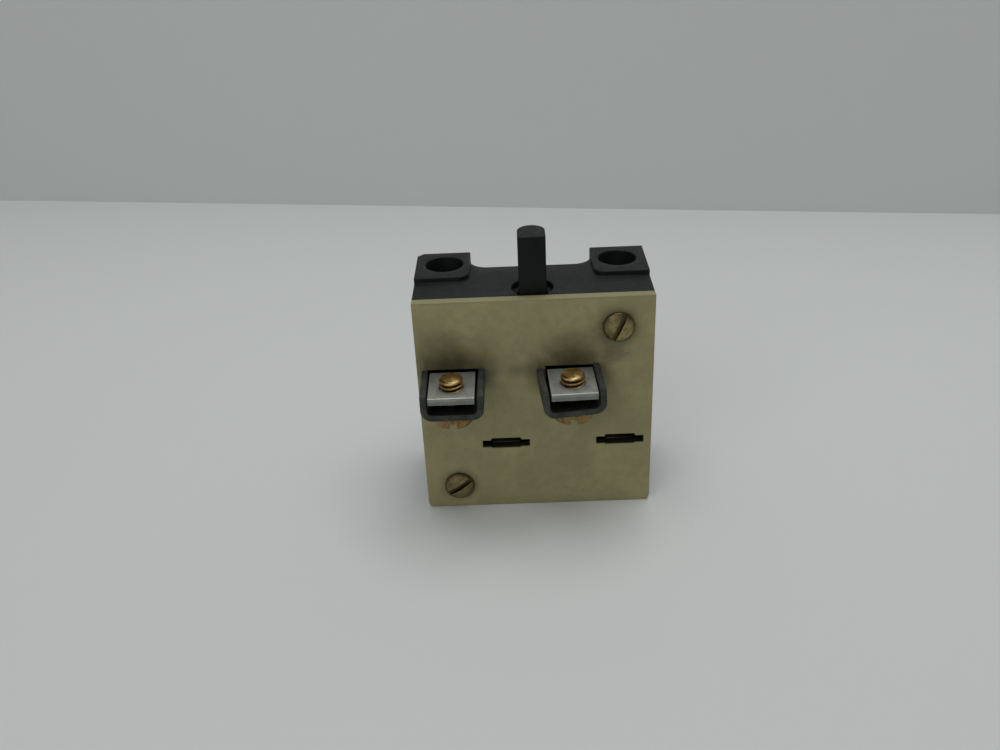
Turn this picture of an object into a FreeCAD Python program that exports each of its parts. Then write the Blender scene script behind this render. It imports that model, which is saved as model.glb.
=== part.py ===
import FreeCAD, Part
import math
import os

# Two-pole push-operated contact block with blade slots and screw clamps.
# Millimetres. +X is right, +Y runs from the cover towards the back, +Z is up.
# The origin is on the underside, in the middle of the whole object's box.
# "Depth" below is the distance behind the cover plate's front face.

Vector = FreeCAD.Vector
X_AXIS = Vector(1, 0, 0)
Y_AXIS = Vector(0, 1, 0)
Z_AXIS = Vector(0, 0, 1)

# Housing and cover plate
WIDTH = 41.3
HALF = WIDTH / 2
HEIGHT = 42.2
COVER_THICK = 1.8
COVER_CORNER = 1.15
MIDDLE_DEPTH = 14.6
EAR_DEPTH = 19.6
EAR_INNER = 10.95
EAR_FILLET = 3.2
EAR_CHAMFER = 1.1
PAD_FRONT = 8.3
PAD_HEIGHT = 1.0
PAD_CORNER = 2.0

# Mounting holes through the ears
MOUNT_SPACING = 31.0
MOUNT_DEPTH = 14.3
COUNTERBORE_R = 3.375
COUNTERBORE_LENGTH = 10.0
MOUNT_HOLE_R = 2.2

# Cavity behind the cover
CAVITY_HALF = 18.6
CAVITY_FLOOR = 3.5
CAVITY_CEILING = 33.0
CAVITY_BACK = 9.4
SHELF_BOTTOM = 16.0
RIB_TOP = 18.0
JAW_REST = 12.3
BOSS_RIGHT = -10.6
BOSS_TOP = 9.2

# Poles: the middle of each, and the reach from it to its two contacts
POLE_X = {"left": -10.0, "right": 10.6}
CONTACT_REACH = 4.4
SHEET = 1.1
FOOT_HALF = 2.0
FOOT_TOP = 19.6
TIP_R = 1.4
TIP_MARGIN = 0.5
TIP_HEIGHT = 0.8
CONTACT_DEPTH = 6.1

# Terminal channel, clamp plate and clamp screw
CHANNEL_HALF_BACK = 5.5
CHANNEL_HALF_FRONT = 5.35
CHANNEL_REACH = 9.4
CHANNEL_BOTTOM = 24.6
CHANNEL_TOP = 29.4
CHANNEL_BEND = 2.0
CHANNEL_SHIFT = {"left": 0.1, "right": 0.0}
CHANNEL_YAW = {"left": 0.0, "right": 3.5}
CHANNEL_ROLL = {"left": 0.0, "right": -3.0}
TONGUE_HALF = 4.1
TONGUE_START = -0.6
TONGUE_END = 1.9
WEB_FRONT = 1.95
WINDOW_HALF = 4.4
WINDOW_BOTTOM = 24.35
WINDOW_TOP = 29.3
SCREW_DEPTH = -5.3
THREAD_R = 2.085
THREAD_TIP = 30.75
THREAD_POINT_R = 1.65
CLEARANCE_R = 2.3
TAPPED_R = 2.135
HEAD_R = 3.45
HEAD_BOTTOM = 22.35
HEAD_TOP = 24.3
HEAD_ROUND = 0.5
HEAD_SLOT_WIDTH = 1.3
HEAD_SLOT_DEPTH = 1.2
PLATE_HALF = 3.95
PLATE_FRONT = -9.3
PLATE_BACK = -0.3
PLATE_BOTTOM = 27.65
PLATE_THICK = 1.35
PLATE_YAW = {"left": 0.0, "right": 2.0}

# Blade slots and the jaws behind them
SLOT_Z = 13.8
SLOT_HALF = 4.275
SLOT_BOTTOM = 12.85
SLOT_TOP = 14.3
SLOT_MIDDLE_HALF = 2.65
SLOT_MIDDLE_BOTTOM = 12.65
SLOT_MIDDLE_TOP = 14.75
POCKET_GAP = 0.2
JAW_HALF = 2.5
JAW_LEAF = 0.5
JAW_GAP = 0.6
JAW_MOUTH_GAP = 2.0
JAW_FRONT = 1.95
JAW_THROAT = 3.4
SPINE_FRONT = 8.25
SPINE_BACK = SPINE_FRONT + SHEET

# Cover screws, one upper right and one lower left
COVER_SCREWS = {"upper": (14.4, 36.6, 66.0), "lower": (-14.6, 4.9, 34.0)}
COVER_HEAD_R = 2.7
COVER_HEAD_RIM = 0.6
COVER_HEAD_PROUD = 1.25
COVER_SLOT_WIDTH = 0.85
COVER_SLOT_DEPTH = 0.85
COVER_THREAD_R = 1.5
COVER_THREAD_END = 9.5
COVER_HOLE_GAP = 0.2
THREAD_GAP = 0.1
THREAD_RUNOUT = 0.4
INSERT_R = 2.3
INSERT_BORE_R = 1.53
INSERT_END = 8.8

# Plunger, carrier and springs
PLUNGER_FLAT = 2.0
PLUNGER_CENTRE = 5.2
PLUNGER_R = 2.35
PLUNGER_TOP = 52.6
PLUNGER_BOTTOM = 34.5
GUIDE_GAP = 0.1
GUIDE_COUNTERBORE_R = 3.6
GUIDE_COUNTERBORE_DEEP = 1.2
STEM_DEPTH = 5.5
STEM_R = 1.8
STEM_BOTTOM = 27.0
HUB_R = 3.2
HUB_BOTTOM = 24.0
CARRIER_TOP = 32.95
CARRIER_FRONT = 3.8
CARRIER_BACK = 8.4
ARM_HALF = 1.9
ARM_BOTTOM = 22.65
ARM_FLOOR = 23.65
WINDOW_CEILING = 28.5
CHEEK = 0.75
PIN_R = 0.75
PIN_Z = 30.0
PIN_LENGTH = 6.2
BRIDGE_REACH = 6.2
BRIDGE_HALF = 1.5
BRIDGE_BOTTOM = 23.7
BRIDGE_TOP = 24.7
SPRING_X = 0.3
SPRING_SEAT = 8.0
SPRING_R = 1.875
SPRING_WIRE_R = 0.225
SPRING_TURNS = 9
SEAT_R = 3.0
PEG_R = 1.45
SEAT_PEG_TOP = 10.5
HUB_PEG_BOTTOM = 22.5
CONTACT_SPRING_R = 1.25
CONTACT_WIRE_R = 0.175
CONTACT_SPRING_TURNS = 4

MARGIN = 1.0


def front_reach():
    """How far the skewed right channel's leading corner stands out of the cover."""
    yaw = math.radians(CHANNEL_YAW["right"])
    roll = math.radians(CHANNEL_ROLL["right"])
    side = CHANNEL_HALF_FRONT * math.cos(roll) * math.sin(yaw)
    return side + (CHANNEL_REACH + SCREW_DEPTH) * math.cos(yaw) - SCREW_DEPTH


FACE_Y = (front_reach() - EAR_DEPTH) / 2


def box(x0, x1, depth0, depth1, z0, z1):
    corner = Vector(x0, FACE_Y + depth0, z0)
    return Part.makeBox(x1 - x0, depth1 - depth0, z1 - z0, corner)


def upright(x, depth, radius, z0, z1):
    return Part.makeCylinder(radius, z1 - z0, Vector(x, FACE_Y + depth, z0), Z_AXIS)


def across(x, z, radius, depth0, depth1):
    return Part.makeCylinder(radius, depth1 - depth0, Vector(x, FACE_Y + depth0, z), Y_AXIS)


def upright_edges(shape, x, depth):
    """The vertical edges of a shape at one place in plan."""
    found = []
    for edge in shape.Edges:
        middle = edge.CenterOfMass
        if abs(middle.x - x) < 1e-3 and abs(middle.y - FACE_Y - depth) < 1e-3:
            found.append(edge)
    return found


def terminal_x(side):
    return POLE_X[side] - CONTACT_REACH


def jaw_x(side):
    return POLE_X[side] + CONTACT_REACH


def save(shape, node):
    shape.exportStep("parts/" + node + ".step")


# Housing ------------------------------------------------------------------


def ear_fillet(sign):
    """Concave corner between an ear's inner side and the back of the middle."""
    edge = EAR_INNER - EAR_FILLET
    x0 = min(sign * edge, sign * EAR_INNER)
    end = MIDDLE_DEPTH + EAR_FILLET
    corner = box(x0, x0 + EAR_FILLET, MIDDLE_DEPTH, end, 0, HEIGHT)
    return corner.cut(upright(sign * edge, end, EAR_FILLET, 0, HEIGHT))


def ear_pad(sign):
    x0 = min(sign * EAR_INNER, sign * HALF)
    pad = box(x0, x0 + HALF - EAR_INNER, PAD_FRONT, EAR_DEPTH, HEIGHT, HEIGHT + PAD_HEIGHT)
    return pad.makeFillet(PAD_CORNER, upright_edges(pad, sign * EAR_INNER, PAD_FRONT))


def outer_form():
    form = box(-HALF, HALF, COVER_THICK, MIDDLE_DEPTH, 0, HEIGHT)
    for sign in (-1, 1):
        x0 = min(sign * EAR_INNER, sign * HALF)
        ear = box(x0, x0 + HALF - EAR_INNER, MIDDLE_DEPTH, EAR_DEPTH, 0, HEIGHT)
        form = form.fuse([ear, ear_fillet(sign), ear_pad(sign)])
    form = form.removeSplitter()
    return form.makeChamfer(EAR_CHAMFER, upright_edges(form, -HALF, EAR_DEPTH))


def cavity_space():
    space = box(-CAVITY_HALF, CAVITY_HALF, COVER_THICK, CAVITY_BACK, CAVITY_FLOOR, CAVITY_CEILING)
    keep = []
    for side in POLE_X:
        foot = terminal_x(side)
        pillar = (foot - FOOT_HALF, foot + FOOT_HALF, COVER_THICK, CAVITY_BACK)
        keep.append(box(*pillar, CAVITY_FLOOR, FOOT_TOP - SHEET))
        jaw = jaw_x(side)
        keep.append(box(jaw - JAW_HALF, jaw + JAW_HALF, COVER_THICK, CAVITY_BACK, CAVITY_FLOOR, JAW_REST))
        shelf = (jaw - FOOT_HALF, jaw + FOOT_HALF, COVER_THICK, SPINE_FRONT)
        keep.append(box(*shelf, SHELF_BOTTOM, FOOT_TOP - SHEET))
        rib = (foot + FOOT_HALF, jaw - FOOT_HALF, COVER_THICK, SPINE_FRONT)
        keep.append(box(*rib, SHELF_BOTTOM, RIB_TOP))
    keep.append(box(-CAVITY_HALF, BOSS_RIGHT, COVER_THICK, CAVITY_BACK, CAVITY_FLOOR, BOSS_TOP))
    keep.append(upright(SPRING_X, STEM_DEPTH, SEAT_R, CAVITY_FLOOR, SPRING_SEAT))
    keep.append(upright(SPRING_X, STEM_DEPTH, PEG_R, CAVITY_FLOOR, SEAT_PEG_TOP))
    return space.cut(keep)


def blade_pocket():
    """Room in the right wall for the edge of a blade as wide as the slot."""
    x = jaw_x("right")
    low = SLOT_BOTTOM - POCKET_GAP
    high = SLOT_TOP + POCKET_GAP
    return box(x, x + SLOT_HALF + POCKET_GAP, COVER_THICK, SPINE_FRONT, low, high)


def guide_space():
    radius = PLUNGER_R + GUIDE_GAP
    space = upright(0, PLUNGER_CENTRE, radius, CAVITY_CEILING, HEIGHT)
    space = space.fuse(box(-radius, radius, COVER_THICK, PLUNGER_CENTRE, CAVITY_CEILING, HEIGHT))
    rim = HEIGHT - GUIDE_COUNTERBORE_DEEP
    return space.fuse(upright(0, PLUNGER_CENTRE, GUIDE_COUNTERBORE_R, rim, HEIGHT))


def housing():
    shape = outer_form()
    shape = shape.cut([cavity_space(), blade_pocket(), guide_space()])
    top = HEIGHT + PAD_HEIGHT
    for sign in (-1, 1):
        x = sign * MOUNT_SPACING / 2
        bore = upright(x, MOUNT_DEPTH, COUNTERBORE_R, top - COUNTERBORE_LENGTH, top)
        shape = shape.cut([bore, upright(x, MOUNT_DEPTH, MOUNT_HOLE_R, 0, top)])
    for x, z, slot_angle in COVER_SCREWS.values():
        shape = shape.cut(across(x, z, INSERT_R, COVER_THICK, INSERT_END))
        tap_end = COVER_THREAD_END + THREAD_RUNOUT
        shape = shape.cut(across(x, z, COVER_THREAD_R + THREAD_GAP, INSERT_END, tap_end))
    return shape


# Cover plate and its fastenings -------------------------------------------


def cover_plate():
    plate = box(-HALF, HALF, 0, COVER_THICK, 0, HEIGHT)
    lower = [e for e in plate.Edges if abs(e.CenterOfMass.z) < 1e-3 and abs(e.CenterOfMass.x) > HALF - 1e-3]
    plate = plate.makeFillet(COVER_CORNER, lower)
    cuts = []
    for side in POLE_X:
        x = terminal_x(side) + CHANNEL_SHIFT[side]
        cuts.append(box(x - WINDOW_HALF, x + WINDOW_HALF, 0, COVER_THICK, WINDOW_BOTTOM, WINDOW_TOP))
        x = jaw_x(side)
        middle = (x - SLOT_MIDDLE_HALF, x + SLOT_MIDDLE_HALF)
        cuts.append(box(x - SLOT_HALF, x + SLOT_HALF, 0, COVER_THICK, SLOT_BOTTOM, SLOT_TOP))
        cuts.append(box(*middle, 0, COVER_THICK, SLOT_MIDDLE_BOTTOM, SLOT_MIDDLE_TOP))
    for x, z, slot_angle in COVER_SCREWS.values():
        cuts.append(across(x, z, COVER_THREAD_R + COVER_HOLE_GAP, 0, COVER_THICK))
    return plate.cut(cuts)


def cover_screw(x, z, slot_angle):
    """Domed slotted head standing on the plate, and a shank into the insert."""
    rise = COVER_HEAD_PROUD - COVER_HEAD_RIM
    ball_r = (COVER_HEAD_R ** 2 + rise ** 2) / (2 * rise)
    ball = Part.makeSphere(ball_r, Vector(x, FACE_Y + ball_r - COVER_HEAD_PROUD, z))
    head = across(x, z, COVER_HEAD_R, -COVER_HEAD_PROUD, 0).common(ball)
    reach = COVER_HEAD_R + MARGIN
    half = COVER_SLOT_WIDTH / 2
    floor = COVER_SLOT_DEPTH - COVER_HEAD_PROUD
    slot = box(x - reach, x + reach, -COVER_HEAD_PROUD - MARGIN, floor, z - half, z + half)
    slot.rotate(Vector(x, 0, z), Y_AXIS, -slot_angle)
    shank = across(x, z, COVER_THREAD_R, 0, COVER_THREAD_END)
    return head.cut(slot).fuse(shank)


def cover_insert(x, z):
    tube = across(x, z, INSERT_R, COVER_THICK, INSERT_END)
    return tube.cut(across(x, z, INSERT_BORE_R, COVER_THICK, INSERT_END))


# Terminals ----------------------------------------------------------------


def arc(centre_x, centre_z, radius, start, end, y):
    """Arc in a plane across the channel, angles in degrees from +X towards +Z."""
    points = []
    for angle in (start, (start + end) / 2, end):
        a = math.radians(angle)
        points.append(Vector(centre_x + radius * math.cos(a), y, centre_z + radius * math.sin(a)))
    return Part.Arc(*points).toShape()


def channel_section(half, depth):
    """Outline of the bent sheet: a U with its bends at the bottom."""
    y = FACE_Y + depth
    inner = half - SHEET
    bend = CHANNEL_BEND - SHEET
    low = CHANNEL_BOTTOM
    centre_z = low + CHANNEL_BEND
    edge = half - CHANNEL_BEND

    def line(x0, z0, x1, z1):
        return Part.LineSegment(Vector(x0, y, z0), Vector(x1, y, z1)).toShape()

    return Part.Wire([
        line(-half, CHANNEL_TOP, -half, centre_z),
        arc(-edge, centre_z, CHANNEL_BEND, 180, 270, y),
        line(-edge, low, edge, low),
        arc(edge, centre_z, CHANNEL_BEND, 270, 360, y),
        line(half, centre_z, half, CHANNEL_TOP),
        line(half, CHANNEL_TOP, inner, CHANNEL_TOP),
        line(inner, CHANNEL_TOP, inner, centre_z),
        arc(edge, centre_z, bend, 360, 270, y),
        line(edge, low + SHEET, -edge, low + SHEET),
        arc(-edge, centre_z, bend, 270, 180, y),
        line(-inner, centre_z, -inner, CHANNEL_TOP),
        line(-inner, CHANNEL_TOP, -half, CHANNEL_TOP),
    ])


def terminal(side):
    """Bent sheet: a channel outside, a tongue through the cover, a web and a foot."""
    x = terminal_x(side)
    back = channel_section(CHANNEL_HALF_BACK, MARGIN)
    front = channel_section(CHANNEL_HALF_FRONT, -CHANNEL_REACH)
    channel = Part.makeLoft([back, front], True, True)
    channel.translate(Vector(x + CHANNEL_SHIFT[side], 0, 0))
    pivot = Vector(x, FACE_Y + SCREW_DEPTH, CHANNEL_BOTTOM + SHEET)
    channel.rotate(pivot, Y_AXIS, CHANNEL_ROLL[side])
    channel.rotate(pivot, Z_AXIS, CHANNEL_YAW[side])
    reach = CHANNEL_HALF_BACK + MARGIN
    channel = channel.cut(box(x - reach, x + reach, 0, 2 * MARGIN, 0, HEIGHT))
    floor_top = CHANNEL_BOTTOM + SHEET
    tongue = box(x - TONGUE_HALF, x + TONGUE_HALF, TONGUE_START, TONGUE_END, CHANNEL_BOTTOM, floor_top)
    foot_bottom = FOOT_TOP - SHEET
    web_back = WEB_FRONT + SHEET
    web = box(x - FOOT_HALF, x + FOOT_HALF, WEB_FRONT, web_back, foot_bottom, floor_top)
    neck = box(x - FOOT_HALF, x + FOOT_HALF, TONGUE_START, WEB_FRONT, CHANNEL_BOTTOM, floor_top)
    foot_back = CONTACT_DEPTH + TIP_R + TIP_MARGIN
    foot = box(x - FOOT_HALF, x + FOOT_HALF, WEB_FRONT, foot_back, foot_bottom, FOOT_TOP)
    shape = channel.fuse([tongue, neck, web, foot]).removeSplitter()
    return shape.cut(upright(x, SCREW_DEPTH, CLEARANCE_R, CHANNEL_BOTTOM - MARGIN, CHANNEL_TOP))


def clamp_plate(side):
    x = terminal_x(side)
    top = PLATE_BOTTOM + PLATE_THICK
    plate = box(x - PLATE_HALF, x + PLATE_HALF, PLATE_FRONT, PLATE_BACK, PLATE_BOTTOM, top)
    plate = plate.cut(upright(x, SCREW_DEPTH, TAPPED_R, PLATE_BOTTOM, top))
    plate.rotate(Vector(x, FACE_Y + SCREW_DEPTH, 0), Z_AXIS, PLATE_YAW[side])
    return plate


def terminal_screw(side):
    """Cheese-head screw, head down, its slot running from front to back."""
    x = terminal_x(side)
    head = upright(x, SCREW_DEPTH, HEAD_R, HEAD_BOTTOM, HEAD_TOP)
    rim = [e for e in head.Edges if abs(e.CenterOfMass.z - HEAD_BOTTOM) < 1e-3 and e.Length > HEAD_R]
    head = head.makeFillet(HEAD_ROUND, rim)
    half = HEAD_SLOT_WIDTH / 2
    reach = HEAD_R + MARGIN
    slot_top = HEAD_BOTTOM + HEAD_SLOT_DEPTH
    slot = box(x - half, x + half, SCREW_DEPTH - reach, SCREW_DEPTH + reach, HEAD_BOTTOM - MARGIN, slot_top)
    point = THREAD_R - THREAD_POINT_R
    shank = upright(x, SCREW_DEPTH, THREAD_R, HEAD_TOP, THREAD_TIP - point)
    base = Vector(x, FACE_Y + SCREW_DEPTH, THREAD_TIP - point)
    cone = Part.makeCone(THREAD_R, THREAD_POINT_R, point, base, Z_AXIS)
    return head.cut(slot).fuse([shank, cone])


def fixed_tip(x):
    return upright(x, CONTACT_DEPTH, TIP_R, FOOT_TOP, FOOT_TOP + TIP_HEIGHT)


# Blade jaws ---------------------------------------------------------------


def jaw_leaf(x, sign):
    """One spring leaf, flared at the mouth and straight behind the throat."""
    inner = JAW_GAP / 2
    mouth = JAW_MOUTH_GAP / 2
    outline = [
        (JAW_FRONT, mouth),
        (JAW_THROAT, inner),
        (SPINE_BACK, inner),
        (SPINE_BACK, inner + JAW_LEAF),
        (JAW_THROAT, inner + JAW_LEAF),
        (JAW_FRONT, mouth + JAW_LEAF),
    ]
    outline.append(outline[0])
    points = [Vector(x - JAW_HALF, FACE_Y + d, SLOT_Z + sign * z) for d, z in outline]
    return Part.Face(Part.makePolygon(points)).extrude(X_AXIS * 2 * JAW_HALF)


def blade_jaw(side):
    """Two leaves on a spine, bent over at the top into the foot for the fixed tip."""
    x = jaw_x(side)
    low = SLOT_Z - JAW_GAP / 2 - JAW_LEAF
    spine = box(x - FOOT_HALF, x + FOOT_HALF, SPINE_FRONT, SPINE_BACK, low, FOOT_TOP)
    foot_front = CONTACT_DEPTH - TIP_R - TIP_MARGIN
    foot = box(x - FOOT_HALF, x + FOOT_HALF, foot_front, SPINE_BACK, FOOT_TOP - SHEET, FOOT_TOP)
    return jaw_leaf(x, 1).fuse([jaw_leaf(x, -1), spine, foot]).removeSplitter()


# Plunger and moving contacts ----------------------------------------------


def plunger():
    """D-section rod, its flat towards the cover, with a round stem below."""
    rod = upright(0, PLUNGER_CENTRE, PLUNGER_R, PLUNGER_BOTTOM, PLUNGER_TOP)
    front = box(-PLUNGER_R, PLUNGER_R, PLUNGER_FLAT, PLUNGER_CENTRE, PLUNGER_BOTTOM, PLUNGER_TOP)
    stem = upright(0, STEM_DEPTH, STEM_R, STEM_BOTTOM, PLUNGER_BOTTOM)
    shape = rod.fuse([front, stem]).removeSplitter()
    return shape.cut(across(0, PIN_Z, PIN_R, 0, CAVITY_BACK))


def contact_carrier():
    """Hub on the stem, a crossbar, and a windowed arm for each pole."""
    left = POLE_X["left"] - ARM_HALF
    right = POLE_X["right"] + ARM_HALF
    shape = upright(0, STEM_DEPTH, HUB_R, HUB_BOTTOM, CARRIER_TOP)
    crossbar = box(left, right, CARRIER_FRONT, CARRIER_BACK, WINDOW_CEILING, CARRIER_TOP)
    peg = upright(SPRING_X, STEM_DEPTH, PEG_R, HUB_PEG_BOTTOM, HUB_BOTTOM)
    shape = shape.fuse([crossbar, peg])
    for x in POLE_X.values():
        arm = box(x - ARM_HALF, x + ARM_HALF, CARRIER_FRONT, CARRIER_BACK, ARM_BOTTOM, WINDOW_CEILING)
        inside = (CARRIER_FRONT + CHEEK, CARRIER_BACK - CHEEK)
        window = box(x - ARM_HALF, x + ARM_HALF, *inside, ARM_FLOOR, WINDOW_CEILING)
        shape = shape.fuse(arm.cut(window))
    shape = shape.removeSplitter()
    socket = upright(0, STEM_DEPTH, STEM_R, STEM_BOTTOM, CARRIER_TOP)
    return shape.cut([socket, across(0, PIN_Z, PIN_R, 0, CAVITY_BACK)])


def carrier_pin():
    half = PIN_LENGTH / 2
    return across(0, PIN_Z, PIN_R, STEM_DEPTH - half, STEM_DEPTH + half)


def coil_spring(x, depth, radius, wire_r, turns, z0, z1):
    """Round wire in tilted half rings that meet end to end, between two heights."""
    rise = (z1 - z0 - 2 * wire_r) / (2 * turns)
    halves = []
    for count in range(2 * turns):
        side = 1 - 2 * (count % 2)
        low = z0 + wire_r + count * rise
        start = Vector(x + side * radius, FACE_Y + depth, low)
        end = Vector(x - side * radius, FACE_Y + depth, low + rise)
        tilt = (Y_AXIS * side).cross(end - start)
        profile = Part.Face(Part.Wire([Part.makeCircle(wire_r, start, Y_AXIS)]))
        halves.append(profile.revolve((start + end) * 0.5, tilt, 180))
    return halves[0].fuse(halves[1:])


def return_spring():
    span = (SPRING_SEAT, HUB_BOTTOM)
    return coil_spring(SPRING_X, STEM_DEPTH, SPRING_R, SPRING_WIRE_R, SPRING_TURNS, *span)


def contact_spring(side):
    span = (BRIDGE_TOP, WINDOW_CEILING)
    x = POLE_X[side]
    return coil_spring(x, CONTACT_DEPTH, CONTACT_SPRING_R, CONTACT_WIRE_R, CONTACT_SPRING_TURNS, *span)


def contact_bridge(side):
    x = POLE_X[side]
    inside = (CONTACT_DEPTH - BRIDGE_HALF, CONTACT_DEPTH + BRIDGE_HALF)
    return box(x - BRIDGE_REACH, x + BRIDGE_REACH, *inside, BRIDGE_BOTTOM, BRIDGE_TOP)


def bridge_tips(side):
    """Two silver tips under the ends of a bridge, as separate solids."""
    tips = []
    for x in (terminal_x(side), jaw_x(side)):
        tips.append(upright(x, CONTACT_DEPTH, TIP_R, BRIDGE_BOTTOM - TIP_HEIGHT, BRIDGE_BOTTOM))
    return Part.makeCompound(tips)


os.makedirs("parts", exist_ok=True)

save(housing(), "housing")
save(cover_plate(), "cover_plate")
for place, (screw_x, screw_z, angle) in COVER_SCREWS.items():
    save(cover_screw(screw_x, screw_z, angle), "cover_screw_" + place)
    save(cover_insert(screw_x, screw_z), "cover_insert_" + place)
save(plunger(), "plunger")
save(contact_carrier(), "contact_carrier")
save(carrier_pin(), "carrier_pin")
save(return_spring(), "return_spring")
for pole in POLE_X:
    save(terminal(pole), pole + "_terminal")
    save(clamp_plate(pole), pole + "_clamp_plate")
    save(terminal_screw(pole), pole + "_terminal_screw")
    save(fixed_tip(terminal_x(pole)), pole + "_terminal_tip")
    save(blade_jaw(pole), pole + "_blade_jaw")
    save(fixed_tip(jaw_x(pole)), pole + "_jaw_tip")
    save(contact_bridge(pole), pole + "_contact_bridge")
    save(bridge_tips(pole), pole + "_bridge_tips")
    save(contact_spring(pole), pole + "_contact_spring")
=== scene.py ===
import math

import bpy
from mathutils import Matrix, Vector


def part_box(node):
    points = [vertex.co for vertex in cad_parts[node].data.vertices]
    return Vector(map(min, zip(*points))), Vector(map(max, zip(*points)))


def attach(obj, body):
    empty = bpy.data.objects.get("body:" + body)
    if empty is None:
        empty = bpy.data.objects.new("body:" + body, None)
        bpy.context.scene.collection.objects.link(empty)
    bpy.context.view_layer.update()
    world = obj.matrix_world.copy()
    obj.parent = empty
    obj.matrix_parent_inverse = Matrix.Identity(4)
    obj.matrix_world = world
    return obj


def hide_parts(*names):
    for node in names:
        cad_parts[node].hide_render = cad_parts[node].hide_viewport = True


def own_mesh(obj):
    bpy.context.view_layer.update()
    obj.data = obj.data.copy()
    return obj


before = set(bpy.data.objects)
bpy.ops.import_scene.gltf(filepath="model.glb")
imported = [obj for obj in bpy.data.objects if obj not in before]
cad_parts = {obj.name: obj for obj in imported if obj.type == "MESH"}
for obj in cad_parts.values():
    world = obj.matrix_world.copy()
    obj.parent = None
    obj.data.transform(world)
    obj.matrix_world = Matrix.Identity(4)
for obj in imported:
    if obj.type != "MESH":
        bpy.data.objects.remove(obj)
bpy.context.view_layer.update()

MM = 0.001


# Viewpoint. The block stands on its base and is seen from the front and above,
# from a hand's breadth away, with the camera very slightly turned and tilted.
def corners(node):
    """A design part's lowest and highest corners."""
    return tuple(Vector(corner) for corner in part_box(node))


def linked(name, data):
    """A new object that holds the data, put in the scene."""
    piece = bpy.data.objects.new(name, data)
    bpy.context.collection.objects.link(piece)
    return piece


cover_low, cover_high = corners("cover_plate")
FACE_Y = cover_low.y
CAMERA_LENS = 36.11
CAMERA_SENSOR = 36
CAMERA_PLACE = Vector((-3.24, -152.89, 113.6)) * MM + Vector((0, FACE_Y, 0))
CAMERA_AZIMUTH = math.radians(1.10)
CAMERA_ELEVATION = math.radians(29.26)
CAMERA_ROLL = math.radians(-2.70)

camera_data = bpy.data.cameras.new("camera")
camera_data.sensor_width = CAMERA_SENSOR
camera_data.lens = CAMERA_LENS
camera_data.clip_start = 10 * MM
camera = linked("camera", camera_data)
camera.matrix_world = (
    Matrix.Translation(CAMERA_PLACE)
    @ Matrix.Rotation(CAMERA_AZIMUTH, 4, "Z")
    @ Matrix.Rotation(math.pi / 2 - CAMERA_ELEVATION, 4, "X")
    @ Matrix.Rotation(CAMERA_ROLL, 4, "Z")
)
bpy.context.scene.camera = camera


# Light. A large soft source hangs above the block, a weaker one stands at the
# front left, and a pale surround fills the rest.
BLOCK_MIDDLE = Vector((0, 0, 20)) * MM
SOFTBOX_SIZE = 0.45


def softbox(name, place, power):
    """A square area light at a place, aimed at the block's middle, with its power in watts."""
    data = bpy.data.lights.new(name, "AREA")
    data.size = SOFTBOX_SIZE
    data.energy = power
    lamp = linked(name, data)
    lamp.location = place
    aim = BLOCK_MIDDLE - lamp.location
    lamp.rotation_euler = aim.to_track_quat("-Z", "Y").to_euler()


softbox("overhead", (0.05, 0.04, 0.60), 1.68)
softbox("front_left", (-0.30, -0.50, 0.40), 0.74)
surround = bpy.data.worlds.new("surround")
surround.use_nodes = True
background = surround.node_tree.nodes["Background"]
background.inputs["Color"].default_value = (0.93, 0.95, 1.0, 1)
background.inputs["Strength"].default_value = 0.185
bpy.context.scene.world = surround
bpy.context.scene.view_settings.view_transform = "Standard"


# Table top and back sheet. A pale board that the block stands on and an upright
# sheet behind it, set slightly askew; neither is part of the object.
def new_material(name):
    """A material with its node tree and its Principled shader."""
    material = bpy.data.materials.new(name)
    material.use_nodes = True
    return material, material.node_tree, material.node_tree.nodes["Principled BSDF"]


TABLE_WIDTH = 4
BACK_SHEET_FOOT = Vector((0, 157, 0)) * MM
BACK_SHEET_YAW = math.radians(-9.0)
BACK_SHEET_LENGTH = 1.2
BACK_SHEET_HEIGHT = 0.22

bpy.ops.object.select_all(action="DESELECT")
bpy.ops.mesh.primitive_plane_add(size=TABLE_WIDTH, location=(0, 0, 0))
table_top = bpy.context.object
table_top.name = "table_top"
bpy.ops.mesh.primitive_plane_add(size=1, rotation=(math.pi / 2, 0, BACK_SHEET_YAW))
back_sheet = bpy.context.object
back_sheet.name = "back_sheet"
back_sheet.scale = (BACK_SHEET_LENGTH, BACK_SHEET_HEIGHT, 1)
back_sheet.location = BACK_SHEET_FOOT + Vector((0, 0, BACK_SHEET_HEIGHT / 2))
board, _, board_shader = new_material("pale_board")
board_shader.inputs["Base Color"].default_value = (0.70, 0.72, 0.70, 1)
board_shader.inputs["Roughness"].default_value = 0.75
table_top.data.materials.append(board)
back_sheet.data.materials.append(board)


# Housing. One compression moulding in black phenolic, with two ears at the back
# for the mounting screws and a raised pad round each hole. Its arrises are
# slightly rounded from tumbling, and handling has left fine pale scuffs.
def pick(piece):
    """Select one piece alone and make it the active one."""
    bpy.ops.object.select_all(action="DESELECT")
    piece.select_set(True)
    bpy.context.view_layer.objects.active = piece


def round_edges(piece, width, segments=2, angle=35, loop_slide=True):
    """Round a piece's edges sharper than an angle in degrees, and shade the rest smooth."""
    bevel = piece.modifiers.new("rounded edges", "BEVEL")
    bevel.width = width
    bevel.segments = segments
    bevel.limit_method = "ANGLE"
    bevel.angle_limit = math.radians(angle)
    bevel.use_clamp_overlap = False
    bevel.loop_slide = loop_slide
    pick(piece)
    bpy.ops.object.modifier_apply(modifier=bevel.name)
    bpy.ops.object.shade_smooth_by_angle(angle=math.radians(angle))


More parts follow.
